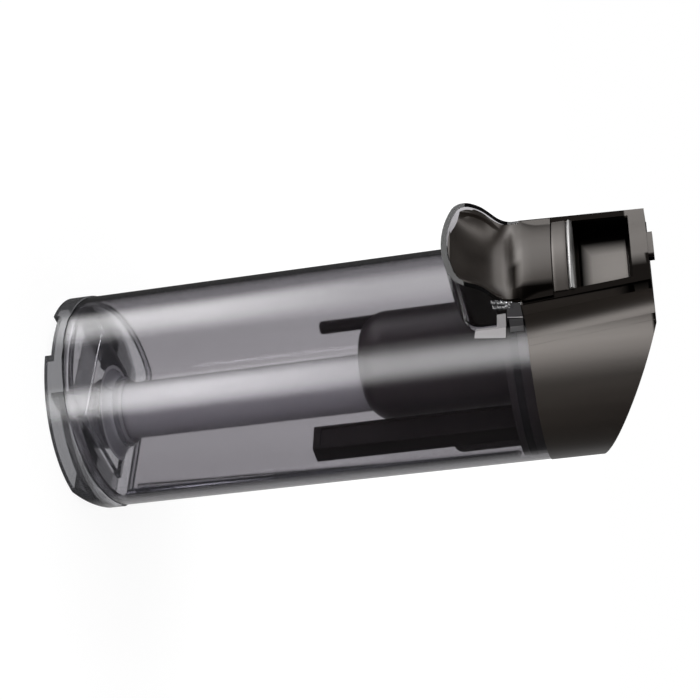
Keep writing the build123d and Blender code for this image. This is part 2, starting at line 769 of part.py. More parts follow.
save("tank_shell", make_tank_shell())
save("base_cap", make_base_cap())
save("inlet_socket", make_inlet_socket())
save("inlet_seal", make_inlet_seal())
save("riser_tube", make_riser_tube())
save("head_housing", make_head_housing())
save("grip_liner", make_grip_liner())
save("grip_neck", make_grip_neck())
save("ring_band", neck_piece(ring_proud, neck_top, ring_top))
save("trim_strip", neck_piece(trim_proud, ring_top, trim_top))
save("lid_plug", make_lid_plug())
save("rim_seal", make_rim_seal())
save("plug_screws", make_plug_screws())
save("separator_hood", make_separator_hood())
save("float_chamber", make_float_chamber())
save("float_rod", make_float_rod())
save("float_yoke", make_float_yoke())
save("float_seal", make_float_seal())
save("valve_plate", make_valve_plate())
save("filter_frame", make_filter_frame())
save("filter_pleats", make_filter_pleats())
save("filter_gasket", make_filter_gasket())
save("latch_panel", make_latch_panel())
save("latch_bracket", make_latch_bracket())
for side_name, place in zip(("left", "right"), spring_places()):
    save("latch_spring_" + side_name, make_latch_spring(*place))
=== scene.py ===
import bpy
import bmesh
import numpy as np
from math import cos, pi, radians, sin
from mathutils import Matrix, Vector


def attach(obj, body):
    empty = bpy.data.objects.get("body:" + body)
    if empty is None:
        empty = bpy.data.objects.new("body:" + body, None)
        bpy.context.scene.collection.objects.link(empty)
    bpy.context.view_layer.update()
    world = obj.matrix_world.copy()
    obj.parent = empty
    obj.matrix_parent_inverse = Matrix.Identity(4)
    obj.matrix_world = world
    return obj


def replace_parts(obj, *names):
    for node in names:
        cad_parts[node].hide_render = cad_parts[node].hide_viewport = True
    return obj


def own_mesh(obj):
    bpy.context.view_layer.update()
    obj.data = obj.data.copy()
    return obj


# Clear dirty water tank with its dark lift-off head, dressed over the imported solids.

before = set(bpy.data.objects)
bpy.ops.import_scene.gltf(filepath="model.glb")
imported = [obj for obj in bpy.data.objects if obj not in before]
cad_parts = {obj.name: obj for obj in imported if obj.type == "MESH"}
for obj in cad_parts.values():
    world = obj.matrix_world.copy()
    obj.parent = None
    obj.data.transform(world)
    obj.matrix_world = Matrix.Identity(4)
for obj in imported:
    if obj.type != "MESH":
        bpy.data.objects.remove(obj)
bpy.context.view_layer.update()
scene = bpy.context.scene
print("frame loaded:", len(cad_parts), "nodes")


# A math node in a material, lamp or group; its two inputs are sockets or plain numbers.
def calculate(tree, operation, first, second, clamp=False):
    step = tree.nodes.new("ShaderNodeMath")
    step.operation = operation
    step.use_clamp = clamp
    for k, value in enumerate((first, second)):
        if isinstance(value, (int, float)):
            step.inputs[k].default_value = value
        else:
            tree.links.new(value, step.inputs[k])
    return step.outputs[0]


# How often a ray has bounced off something, and not only gone through.
def countBounces(tree, rays):
    return calculate(tree, "ADD", rays.outputs["Glossy Depth"], rays.outputs["Diffuse Depth"])


# Camera, lamps, floor and world

eye = {"azimuth": 42.13, "elevation": 11.87, "distance": 0.7612, "roll": 82.87,
       "lens": 84.6, "sensor": 36.0, "nearest": 0.01,
       "aside": -0.00986, "aimHeight": 0.1309, "axisY": -0.0092}


# Unit vector from the tank's axis towards a place at that azimuth and elevation.
def aroundAxis(azimuth, elevation):
    a, e = radians(azimuth), radians(elevation)
    return Vector((sin(a) * cos(e), -cos(a) * cos(e), sin(e)))


def makeCamera():
    back = aroundAxis(eye["azimuth"], eye["elevation"])
    level = Vector((cos(radians(eye["azimuth"])), sin(radians(eye["azimuth"])), 0))
    upright = back.cross(level)
    r = radians(eye["roll"])
    right = level * cos(r) + upright * sin(r)
    up = upright * cos(r) - level * sin(r)
    aim = level * eye["aside"] + Vector((0, eye["axisY"], eye["aimHeight"]))
    data = bpy.data.cameras.new("camera")
    data.lens = eye["lens"]
    data.sensor_width = eye["sensor"]
    data.clip_start = eye["nearest"]
    camera = bpy.data.objects.new("camera", data)
    scene.collection.objects.link(camera)
    turn = Matrix((right, up, back)).transposed().to_4x4()
    camera.matrix_world = Matrix.Translation(aim + back * eye["distance"]) @ turn
    scene.camera = camera


# Each lamp is a tall panel. "low" and "high" give the brightness and the width of its bell at the
# two ends of "span", which runs from 0 at the panel's foot to 1 at its top; beyond the span they
# stay as they are.
lamps = {
    "besideCamera": {"azimuth": 40, "elevation": -8, "distance": 0.62, "size": (0.60, 0.9),
                     "radiance": 8.0, "span": (0.33, 0.5), "low": (1.28, 0.80),
                     "high": (0.72, 0.90)},
    "scoopSide": {"azimuth": -45, "elevation": -6, "distance": 0.75, "size": (1.2, 0.9),
                  "radiance": 5.0, "span": (0.29, 0.44), "low": (1.30, 0.66), "high": (0.58, 0.80)},
    "overhead": {"azimuth": 0, "elevation": 75, "distance": 0.9, "size": (0.9, 0.9),
                 "radiance": 3.5, "span": (0, 1), "low": (1.0, 1.0), "high": (1.0, 1.0)},
    "backGlow": {"azimuth": 192, "elevation": -8, "distance": 0.8, "size": (0.8, 0.9),
                 "radiance": 0.5, "span": (0, 1), "low": (1.0, 1.6), "high": (1.0, 1.6)},
    "behind": {"azimuth": 200, "elevation": 35, "distance": 0.9, "size": (0.6, 0.6),
               "radiance": 1.0, "span": (0, 1), "low": (1.0, 1.0), "high": (1.0, 1.0)},
}
lampAim = {"height": 0.14, "wallPasses": 3.5}


# 1 for a ray that has come straight through both walls of the clear tank, and so enters and leaves
# plastic four times: clamp((transmission depth > 3.5) - bounces). Such rays don't see the lamps.
def hidesLamp(tree):
    rays = tree.nodes.new("ShaderNodeLightPath")
    depth = rays.outputs["Transmission Depth"]
    walls = calculate(tree, "GREATER_THAN", depth, lampAim["wallPasses"])
    return calculate(tree, "SUBTRACT", walls, countBounces(tree, rays), clamp=True)


# Light that falls off as a bell from the panel's upright middle line: 1 - smooth(|2u - 1| / width).
# Brightness and width run evenly over the lamp's span of v.
def softenLamp(data, lamp):
    data.use_nodes = True
    tree = data.node_tree
    tree.nodes.clear()
    out = tree.nodes.new("ShaderNodeOutputLight")
    glow = tree.nodes.new("ShaderNodeEmission")
    where = tree.nodes.new("ShaderNodeNewGeometry")
    parts = tree.nodes.new("ShaderNodeSeparateXYZ")
    tree.links.new(where.outputs["Parametric"], parts.inputs[0])
    offset = calculate(tree, "SUBTRACT", parts.outputs[0], 0.5)
    aside = calculate(tree, "ABSOLUTE", calculate(tree, "MULTIPLY", offset, 2.0), 0.0)
    runs = []
    for k in (0, 1):
        run = tree.nodes.new("ShaderNodeMapRange")
        run.inputs["From Min"].default_value, run.inputs["From Max"].default_value = lamp["span"]
        run.inputs["To Min"].default_value = lamp["low"][k]
        run.inputs["To Max"].default_value = lamp["high"][k]
        tree.links.new(parts.outputs[1], run.inputs["Value"])
        runs.append(run.outputs["Result"])
    brightness, width = runs
    fall = tree.nodes.new("ShaderNodeMapRange")
    fall.interpolation_type = "SMOOTHERSTEP"
    fall.inputs["To Min"].default_value = 1.0
    fall.inputs["To Max"].default_value = 0.0
    tree.links.new(calculate(tree, "DIVIDE", aside, width), fall.inputs["Value"])
    power = calculate(tree, "MULTIPLY", fall.outputs["Result"], brightness)
    seen = calculate(tree, "SUBTRACT", 1.0, hidesLamp(tree))
    tree.links.new(calculate(tree, "MULTIPLY", power, seen), glow.inputs["Strength"])
    tree.links.new(glow.outputs[0], out.inputs["Surface"])


def makeLamps():
    for name, lamp in lamps.items():
        data = bpy.data.lights.new(name, "AREA")
        data.shape = "RECTANGLE"
        data.size, data.size_y = lamp["size"]
        area = lamp["size"][0] * lamp["size"][1]
        data.energy = lamp["radiance"] * pi * area  # watts of an even lamp
        softenLamp(data, lamp)
        way = aroundAxis(lamp["azimuth"], lamp["elevation"])
        place = bpy.data.objects.new(name, data)
        scene.collection.objects.link(place)
        place.location = Vector((0, eye["axisY"], lampAim["height"])) + way * lamp["distance"]
        place.rotation_euler = way.to_track_quat("Z", "Y").to_euler()
        place.visible_camera = False


ground = {"half": 3.0, "sink": 0.0004, "matte": 0.8, "white": 1.0, "floorWhite": 1.12,
          "nearShown": 0.8, "near": 0.10, "far": 0.5, "ambient": 0.07}


# 1 for the rays that meet the white background: camera rays, and rays that came through clear
# plastic alone: max(camera, transmission * clamp(1 - bounces)).
def shownWhite(tree):
    rays = tree.nodes.new("ShaderNodeLightPath")
    straight = calculate(tree, "SUBTRACT", 1.0, countBounces(tree, rays), clamp=True)
    through = calculate(tree, "MULTIPLY", rays.outputs["Is Transmission Ray"], straight)
    return rays, calculate(tree, "MAXIMUM", rays.outputs["Is Camera Ray"], through)


def mixShaders(tree, share, first, second):
    mix = tree.nodes.new("ShaderNodeMixShader")
    for socket, source in zip(mix.inputs, (share, first, second)):
        tree.links.new(source, socket)
    return mix.outputs[0]


# Floor that keeps the tank's shadow near it and is white further off. Mirrored and shadow rays pass
# through it, so the tall lamps reach below it.
def makeFloor():
    half = ground["half"]
    mesh = bpy.data.meshes.new("floor")
    corners = [(-half, -half, 0), (half, -half, 0), (half, half, 0), (-half, half, 0)]
    mesh.from_pydata(corners, [], [(0, 1, 2, 3)])
    floor = bpy.data.objects.new("floor", mesh)
    scene.collection.objects.link(floor)
    floor.location.z = -ground["sink"]
    paint = bpy.data.materials.new("paleFloor")
    paint.use_nodes = True
    tree = paint.node_tree
    tree.nodes.clear()
    out = tree.nodes.new("ShaderNodeOutputMaterial")
    matte = tree.nodes.new("ShaderNodeBsdfDiffuse")
    matte.inputs["Color"].default_value = (*[ground["matte"]] * 3, 1)
    lit = tree.nodes.new("ShaderNodeEmission")
    lit.inputs["Strength"].default_value = ground["floorWhite"]
    through = tree.nodes.new("ShaderNodeBsdfTransparent")
    place = tree.nodes.new("ShaderNodeTexCoord")
    away = tree.nodes.new("ShaderNodeVectorMath")
    away.operation = "LENGTH"
    tree.links.new(place.outputs["Object"], away.inputs[0])
    fade = tree.nodes.new("ShaderNodeMapRange")
    fade.inputs["From Min"].default_value = ground["near"]
    fade.inputs["From Max"].default_value = ground["far"]
    fade.inputs["To Min"].default_value = ground["nearShown"]
    tree.links.new(away.outputs["Value"], fade.inputs["Value"])
    rays, clear = shownWhite(tree)
    share = calculate(tree, "MULTIPLY", clear, fade.outputs["Result"])
    low = calculate(tree, "MAXIMUM", rays.outputs["Is Glossy Ray"], rays.outputs["Is Shadow Ray"])
    passed = mixShaders(tree, low, matte.outputs[0], through.outputs[0])
    tree.links.new(mixShaders(tree, share, passed, lit.outputs[0]), out.inputs["Surface"])
    mesh.materials.append(paint)


def makeWorld():
    world = bpy.data.worlds.new("studio")
    world.use_nodes = True
    scene.world = world
    tree = world.node_tree
    tree.nodes.clear()
    out = tree.nodes.new("ShaderNodeOutputWorld")
    skies = []
    for strength in (ground["ambient"], ground["white"]):
        sky = tree.nodes.new("ShaderNodeBackground")
        sky.inputs["Color"].default_value = (1, 1, 1, 1)
        sky.inputs["Strength"].default_value = strength
        skies.append(sky.outputs[0])
    tree.links.new(mixShaders(tree, shownWhite(tree)[1], *skies), out.inputs["Surface"])


makeCamera()
makeLamps()
makeFloor()
makeWorld()
scene.view_settings.view_transform = "Standard"
print("camera, lamps and ground made")


# Effects that several materials share

# What a look has where it doesn't say otherwise
skinUsual = {"grainScale": 900.0, "streakScale": 60.0, "streakLength": 0.06, "bumpDepth": 0.0002,
             "grainDetail": 3.0, "streakDetail": 4.0, "streakRange": (0.3, 0.7)}


# Fine mould grain and long soft streaks: noise, and noise drawn out along the tank's height.
def makeMouldedGroup():
    group = bpy.data.node_groups.new("mouldedSkin", "ShaderNodeTree")
    face = group.interface
    for label in ("Grain Scale", "Streak Scale", "Streak Length"):
        face.new_socket(label, in_out="INPUT", socket_type="NodeSocketFloat")
    for label in ("Grain", "Streaks"):
        face.new_socket(label, in_out="OUTPUT", socket_type="NodeSocketFloat")
    nodes, links = group.nodes, group.links
    start, end = nodes.new("NodeGroupInput"), nodes.new("NodeGroupOutput")
    place = nodes.new("ShaderNodeTexCoord")
    grain = nodes.new("ShaderNodeTexNoise")
    grain.inputs["Detail"].default_value = skinUsual["grainDetail"]
    links.new(place.outputs["Object"], grain.inputs["Vector"])
    links.new(start.outputs["Grain Scale"], grain.inputs["Scale"])
    stretch = nodes.new("ShaderNodeCombineXYZ")
    stretch.inputs[0].default_value = 1.0
    stretch.inputs[1].default_value = 1.0
    links.new(start.outputs["Streak Length"], stretch.inputs[2])
    drawn = nodes.new("ShaderNodeVectorMath")
    drawn.operation = "MULTIPLY"
    links.new(place.outputs["Object"], drawn.inputs[0])
    links.new(stretch.outputs[0], drawn.inputs[1])
    streak = nodes.new("ShaderNodeTexNoise")
    streak.inputs["Detail"].default_value = skinUsual["streakDetail"]
    links.new(drawn.outputs[0], streak.inputs["Vector"])
    links.new(start.outputs["Streak Scale"], streak.inputs["Scale"])
    spread = nodes.new("ShaderNodeMapRange")
    spread.inputs["From Min"].default_value = skinUsual["streakRange"][0]
    spread.inputs["From Max"].default_value = skinUsual["streakRange"][1]
    links.new(streak.outputs["Fac"], spread.inputs["Value"])
    links.new(grain.outputs["Fac"], end.inputs["Grain"])
    links.new(spread.outputs["Result"], end.inputs["Streaks"])
    return group


mouldedSkin = makeMouldedGroup()


def newMaterial(name):
    paint = bpy.data.materials.new(name)
    paint.use_nodes = True
    tree = paint.node_tree
    return paint, tree, tree.nodes["Principled BSDF"]


# Colour between two others, by a mask, on its way to the shader's Base Color.
def mixTone(tree, shader, mask, first, second):
    tone = tree.nodes.new("ShaderNodeMix")
    tone.data_type = "RGBA"
    tree.links.new(mask, tone.inputs[0])
    if first is None:  # what the shader has so far
        tree.links.new(shader.inputs["Base Color"].links[0].from_socket, tone.inputs[6])
    else:
        tone.inputs[6].default_value = (*first, 1)
    tone.inputs[7].default_value = (*second, 1)
    tree.links.new(tone.outputs[2], shader.inputs["Base Color"])


# Places the moulded skin in a material: grain to the bump, streaks to tone and roughness.
def addSkin(tree, shader, look):
    look = {**skinUsual, **look}
    skin = tree.nodes.new("ShaderNodeGroup")
    skin.node_tree = mouldedSkin
    skin.inputs["Grain Scale"].default_value = look["grainScale"]
    skin.inputs["Streak Scale"].default_value = look["streakScale"]
    skin.inputs["Streak Length"].default_value = look["streakLength"]
    bump = tree.nodes.new("ShaderNodeBump")
    bump.inputs["Strength"].default_value = look["bump"]
    bump.inputs["Distance"].default_value = look["bumpDepth"]
    tree.links.new(skin.outputs["Grain"], bump.inputs["Height"])
    tree.links.new(bump.outputs["Normal"], shader.inputs["Normal"])
    rough = tree.nodes.new("ShaderNodeMapRange")
    rough.inputs["To Min"].default_value = look["rough"][0]
    rough.inputs["To Max"].default_value = look["rough"][1]
    tree.links.new(skin.outputs["Streaks"], rough.inputs["Value"])
    tree.links.new(rough.outputs["Result"], shader.inputs["Roughness"])
    mixTone(tree, shader, skin.outputs["Streaks"], look["dark"], look["light"])


# Plastics, rubber and cloth: the two tones and two roughnesses that the streaks run between, the
# bump, the strength and tint of the mirror, and the boxes of painted shade that darken the look.
looks = {
    "bronzePlastic": {"dark": (0.006, 0.0045, 0.0035), "light": (0.013, 0.010, 0.008),
                      "rough": (0.32, 0.44), "bump": 0.06, "specular": 0.65,
                      "tint": (1.0, 0.93, 0.88)},
    # Painted light: a lighter copy of the bronze with a stronger mirror, so the ring looks brighter
    # than the rest
    "litRingBronze": {"dark": (0.008, 0.006, 0.005), "light": (0.016, 0.013, 0.011),
                    "rough": (0.32, 0.44), "bump": 0.06, "specular": 1.0,
                    "tint": (1.0, 0.93, 0.88)},
    # gripPlastic: the bronze with painted shade on the neck's near side and in the crease below it
    "gripPlastic": {"dark": (0.006, 0.0045, 0.0035), "light": (0.013, 0.010, 0.008),
                    "rough": (0.32, 0.44), "bump": 0.06, "specular": 0.65,
                    "tint": (1.0, 0.93, 0.88), "shaded": ("neckNear", "creaseNear")},
    # headPlastic: painted shade on the cheeks' front edges, in the pocket, on the end's lower part
    # and in the key's notch
    "headPlastic": {"dark": (0.006, 0.0045, 0.0035), "light": (0.013, 0.010, 0.008),
                    "rough": (0.34, 0.46), "bump": 0.06, "specular": 0.9, "tint": (1.0, 0.93, 0.88),
                    "shaded": ("farEdge", "nearEdge", "pocket", "endLow", "keyFoot")},
    "innerPlastic": {"dark": (0.032, 0.026, 0.027), "light": (0.046, 0.038, 0.040),
                     "rough": (0.30, 0.40), "bump": 0.05, "specular": 0.6},
    "floatPlastic": {"dark": (0.016, 0.012, 0.013), "light": (0.024, 0.019, 0.020),
                     "rough": (0.42, 0.55), "bump": 0.15, "specular": 0.15},
    # Painted shade: near black for the dark line along the tank's near back corner
    "shadeLineDark": {"dark": (0.006, 0.005, 0.004), "light": (0.010, 0.008, 0.007), "rough": (0.5, 0.6),
                 "bump": 0.06, "specular": 0.10},
    # panelPlastic: painted shade on the panel's far side and lower edge, beside the pocket's walls
    "panelPlastic": {"dark": (0.15, 0.138, 0.128), "light": (0.18, 0.165, 0.153),
                     "rough": (0.45, 0.6), "bump": 0.1, "specular": 0.4,
                     "shaded": ("panelFar", "panelLow")},
    "padPlastic": {"dark": (0.27, 0.26, 0.265), "light": (0.34, 0.33, 0.335), "rough": (0.3, 0.4),
                   "bump": 0.05, "specular": 0.3},
    # Painted highlight: white for the bright line along the tank's near back corner
    "highlightWhite": {"dark": (0.70, 0.70, 0.72), "light": (0.80, 0.80, 0.82), "rough": (0.2, 0.3),
                  "bump": 0.05, "specular": 0.5},
    "platePlastic": {"dark": (0.035, 0.034, 0.035), "light": (0.050, 0.048, 0.050),
                     "rough": (0.35, 0.45), "bump": 0.05, "specular": 0.3},
    "sealRubber": {"dark": (0.010, 0.009, 0.010), "light": (0.018, 0.016, 0.018),
                   "rough": (0.5, 0.65), "bump": 0.25, "specular": 0.3},
    "paleRubber": {"dark": (0.55, 0.55, 0.56), "light": (0.66, 0.66, 0.67), "rough": (0.4, 0.55),
                   "bump": 0.15, "specular": 0.4},
    "filterPlastic": {"dark": (0.016, 0.014, 0.014), "light": (0.026, 0.024, 0.024),
                      "rough": (0.4, 0.55), "bump": 0.2, "specular": 0.4},
    "filterCloth": {"dark": (0.60, 0.60, 0.56), "light": (0.78, 0.78, 0.74), "rough": (0.8, 0.95),
                    "bump": 0.6, "grainScale": 1600.0, "specular": 0.2},
}


# Boxes where a look takes another tone: low corner, high corner and softness, in metres. All but
# "skirt" hold painted shade, on edges turned from the lamps, the pocket, notch and creases.
shadeAndToneBoxes = {
    "farEdge": ((-0.030, -0.070, 0.2181), (-0.0170, -0.0655, 0.264), 0.0006),
    "nearEdge": ((0.0170, -0.070, 0.2181), (0.030, -0.0655, 0.272), 0.0006),
    # The clear base's skirt, a darker tone of its own
    "skirt": ((-0.0700, -0.0800, -0.0100), (0.0700, 0.0400, 0.0098), 0.0006),
    "pocket": ((-0.0219, -0.0663, 0.2405), (0.0219, -0.050, 0.2652), 0.0004),
    "endLow": ((0.0050, -0.0760, 0.2560), (0.0600, -0.0600, 0.2900), 0.0070),
    "keyFoot": ((0.0050, -0.0720, 0.2700), (0.0400, -0.0400, 0.2800), 0.0010),
    "neckNear": ((0.0140, -0.0800, 0.2120), (0.0400, -0.0500, 0.2350), 0.0030),
    "creaseNear": ((0.0010, -0.0800, 0.2118), (0.0400, -0.0500, 0.2195), 0.0036),
    "panelFar": ((-0.0500, -0.0800, 0.2300), (-0.0050, -0.0400, 0.2800), 0.0080),
    "panelLow": ((-0.0500, -0.0800, 0.2300), (0.0500, -0.0400, 0.2480), 0.0045),
}


# 1 inside a box and 0 outside it, with soft sides: the product over x, y, z of two ramps.
def makeBoxGroup():
    group = bpy.data.node_groups.new("boxMask", "ShaderNodeTree")
    face = group.interface
    for label in ("Low", "High"):
        face.new_socket(label, in_out="INPUT", socket_type="NodeSocketVector")
    face.new_socket("Soft", in_out="INPUT", socket_type="NodeSocketFloat")
    face.new_socket("Mask", in_out="OUTPUT", socket_type="NodeSocketFloat")
    nodes, links = group.nodes, group.links
    start, end = nodes.new("NodeGroupInput"), nodes.new("NodeGroupOutput")
    place = nodes.new("ShaderNodeTexCoord")
    last = None
    for label, first in (("Low", True), ("High", False)):
        gap = nodes.new("ShaderNodeVectorMath")
        gap.operation = "SUBTRACT"
        links.new(place.outputs["Object"] if first else start.outputs[label], gap.inputs[0])
        links.new(start.outputs[label] if first else place.outputs["Object"], gap.inputs[1])
        parts = nodes.new("ShaderNodeSeparateXYZ")
        links.new(gap.outputs[0], parts.inputs[0])
        for k in range(3):
            ramp = calculate(group, "DIVIDE", parts.outputs[k], start.outputs["Soft"], clamp=True)
            last = ramp if last is None else calculate(group, "MULTIPLY", last, ramp)
    links.new(last, end.inputs["Mask"])
    return group


boxMask = makeBoxGroup()


# Mask that is 1 inside any of the boxes of these names, painted shade or the skirt's darker tone.
def boxesMask(tree, names):
    total = None
    for name in names:
        low, high, soft = shadeAndToneBoxes[name]
        box = tree.nodes.new("ShaderNodeGroup")
        box.node_tree = boxMask
        box.inputs["Low"].default_value = low
        box.inputs["High"].default_value = high
        box.inputs["Soft"].default_value = soft
        mask = box.outputs["Mask"]
        total = mask if total is None else calculate(tree, "MAXIMUM", total, mask)
    return total


# Tone of the painted shade
paintedShadeTone = (0.0022, 0.0018, 0.0016)


# Painted shade: in the shaded boxes the plastic is near black, a dark metal that mirrors next to
# nothing.
def addPaintedShade(tree, shader, names):
    mask = boxesMask(tree, names)
    mixTone(tree, shader, mask, None, paintedShadeTone)
    tree.links.new(mask, shader.inputs["Metallic"])


def makeSolidLook(name):
    look = looks[name]
    paint, tree, shader = newMaterial(name)
    addSkin(tree, shader, look)
    shader.inputs["Specular IOR Level"].default_value = look["specular"]
    shader.inputs["Specular Tint"].default_value = (*look.get("tint", (1, 1, 1)), 1)
    # Painted shade in the boxes that the look names
    if "shaded" in look:
        addPaintedShade(tree, shader, look["shaded"])
    return paint


# Clear plastics: "clear" is the share of light that goes through, "shadow" tints its shadow,
# "depth" and "density" darken it by its thickness, and "bandTone" is its colour inside "band".
clears = {
    "smokeClear": {"dark": (0.88, 0.87, 0.88), "light": (0.92, 0.91, 0.92), "rough": (0.03, 0.07),
                   "bump": 0.01, "ior": 1.46, "shadow": (0.74, 0.73, 0.75),
                   "depth": (0.50, 0.49, 0.515), "density": 440.0},
    "smokeDeep": {"dark": (0.46, 0.47, 0.53), "light": (0.54, 0.55, 0.61), "rough": (0.06, 0.12),
                  "bump": 0.01, "ior": 1.46, "shadow": (0.6, 0.6, 0.62)},
    "baseClear": {"dark": (0.70, 0.70, 0.715), "light": (0.78, 0.78, 0.795), "rough": (0.02, 0.05),
                  "bump": 0.02, "ior": 1.32, "shadow": (0.8, 0.81, 0.82), "clear": 0.9,
                  "depth": (0.50, 0.50, 0.51), "density": 40.0, "band": "skirt",
                  "bandTone": (0.22, 0.22, 0.23)},
    "glintClear": {"dark": (0.90, 0.90, 0.92), "light": (0.95, 0.95, 0.97), "rough": (0.04, 0.08),
                   "bump": 0.02, "ior": 1.5, "shadow": (0.8, 0.8, 0.82)},
    "pipeClear": {"dark": (0.46, 0.45, 0.47), "light": (0.54, 0.53, 0.55), "rough": (0.18, 0.26),
                  "bump": 0.03, "ior": 1.46, "shadow": (0.7, 0.7, 0.72), "clear": 0.45},
    "milkClear": {"dark": (0.80, 0.80, 0.81), "light": (0.88, 0.88, 0.89), "rough": (0.30, 0.45),
                  "bump": 0.05, "ior": 1.3, "shadow": (0.9, 0.9, 0.91), "clear": 0.2},
}


def makeClearLook(name):
    look = clears[name]
    paint, tree, shader = newMaterial(name)
    addSkin(tree, shader, look)
    shader.inputs["Transmission Weight"].default_value = look.get("clear", 1.0)
    shader.inputs["IOR"].default_value = look["ior"]
    if "band" in look:
        mixTone(tree, shader, boxesMask(tree, [look["band"]]), None, look["bandTone"])
    out = tree.nodes["Material Output"]
    through = tree.nodes.new("ShaderNodeBsdfTransparent")
    through.inputs["Color"].default_value = (*look["shadow"], 1)
    rays = tree.nodes.new("ShaderNodeLightPath")
    shadow = rays.outputs["Is Shadow Ray"]
    mixed = mixShaders(tree, shadow, shader.outputs[0], through.outputs[0])
    tree.links.new(mixed, out.inputs["Surface"])
    if "density" in look:
        depth = tree.nodes.new("ShaderNodeVolumeAbsorption")
        depth.inputs["Color"].default_value = (*look["depth"], 1)
        depth.inputs["Density"].default_value = look["density"]
        tree.links.new(depth.outputs[0], out.inputs["Volume"])
    return paint


metals = {
    "silverStrip": {"dark": (0.34, 0.335, 0.33), "light": (0.44, 0.435, 0.43),
                    "rough": (0.36, 0.46), "bump": 0.03},
    "plainSteel": {"dark": (0.45, 0.45, 0.46), "light": (0.62, 0.62, 0.62), "rough": (0.25, 0.4),
                   "bump": 0.1},
}


def makeMetalLook(name):
    paint, tree, shader = newMaterial(name)
    addSkin(tree, shader, metals[name])
    shader.inputs["Metallic"].default_value = 1.0
    return paint


paints = {name: makeSolidLook(name) for name in looks}
paints.update({name: makeClearLook(name) for name in clears})
paints.update({name: makeMetalLook(name) for name in metals})

wears = {
    "tank_shell": "smokeClear", "base_cap": "baseClear", "riser_tube": "pipeClear",
    "inlet_socket": "pipeClear", "inlet_seal": "paleRubber", "rim_seal": "sealRubber",
    "float_seal": "sealRubber", "filter_gasket": "sealRubber", "head_housing": "headPlastic",
    "grip_liner": "bronzePlastic", "grip_neck": "bronzePlastic", "ring_band": "bronzePlastic",
    "trim_strip": "silverStrip", "lid_plug": "innerPlastic", "separator_hood": "innerPlastic",
    "valve_plate": "innerPlastic", "float_chamber": "floatPlastic", "float_rod": "floatPlastic",
    "float_yoke": "floatPlastic", "filter_frame": "filterPlastic", "filter_pleats": "filterCloth",
    "latch_panel": "panelPlastic", "latch_bracket": "innerPlastic",
    "latch_spring_left": "plainSteel", "latch_spring_right": "plainSteel",
    "plug_screws": "plainSteel",
}
for nodeName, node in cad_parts.items():
    node.data.materials.clear()
    node.data.materials.append(paints[wears[nodeName]])
print("materials made:", len(paints))


# New pieces, written in millimetres about the tank's axis; the frame is in metres
def inFrame(points):
    return (np.asarray(points, float) + (0, 1000 * eye["axisY"], 0)) / 1000


# A closed piece between two grids of points of the same shape: both faces and the rim between them.
# Edges that bend by more than "sharp" degrees stay crisp.
def shellPiece(name, front, back, body, paint, sharp=50):
    rows, columns = front.shape[:2]
    points = np.concatenate([inFrame(front).reshape(-1, 3), inFrame(back).reshape(-1, 3)])
    index = np.arange(rows * columns).reshape(rows, columns)
    cells = [index[:-1, :-1], index[:-1, 1:], index[1:, 1:], index[1:, :-1]]
    quads = np.stack(cells, -1).reshape(-1, 4)
    ring = np.concatenate([index[0, :-1], index[:-1, -1], index[-1, :0:-1], index[:0:-1, 0]])
    after = np.roll(ring, -1)
    under = rows * columns
    rim = np.stack([ring, ring + under, after + under, after], -1)
    faces = np.concatenate([quads, quads[:, ::-1] + under, rim])
    return meshPiece(name, points, faces.tolist(), body, paint, sharp)


samePlace = 1e-7  # points closer than this, in metres, are one


def meshPiece(name, points, faces, body, paint, sharp=50):
    mesh = bpy.data.meshes.new(name)
    mesh.from_pydata([tuple(p) for p in points], [], faces)
    work = bmesh.new()
    work.from_mesh(mesh)
    bmesh.ops.remove_doubles(work, verts=work.verts, dist=samePlace)
    bmesh.ops.recalc_face_normals(work, faces=work.faces)
    work.to_mesh(mesh)
    work.free()
    mesh.polygons.foreach_set("use_smooth", [True] * len(mesh.polygons))
    mesh.set_sharp_from_angle(angle=radians(sharp))
    mesh.materials.append(paints[paint])
    piece = bpy.data.objects.new(name, mesh)
    scene.collection.objects.link(piece)
    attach(piece, body)
    return piece


# Two grids: one value from low to high along the columns, one from 0 to 1 along the rows.
def gridOver(low, high, columns, rows):
    return np.meshgrid(np.linspace(low, high, columns), np.linspace(0, 1, rows))


# Points from grids of x and y, or of x, y and z, any of which may be a plain number.
def pointGrid(*parts):
    return np.stack(np.broadcast_arrays(*parts), -1)


# A quadratic curve from a over the handle b to c.
def handleCurve(w, a, b, c):
    return (1 - w) ** 2 * a + 2 * w * (1 - w) * b + w ** 2 * c


# Values at places, joined by cubic steps whose slopes match.
def smoothRun(at, places, values):
    places, values = np.asarray(places, float), np.asarray(values, float)
    slopes = np.gradient(values, places)
    k = np.clip(np.searchsorted(places, at) - 1, 0, len(places) - 2)
    wide = places[k + 1] - places[k]
    t = np.clip((at - places[k]) / wide, 0, 1)
    return ((2 * t ** 3 - 3 * t ** 2 + 1) * values[k] + (t ** 3 - 2 * t ** 2 + t) * wide * slopes[k]
            + (3 * t ** 2 - 2 * t ** 3) * values[k + 1] + (t ** 3 - t ** 2) * wide * slopes[k + 1])


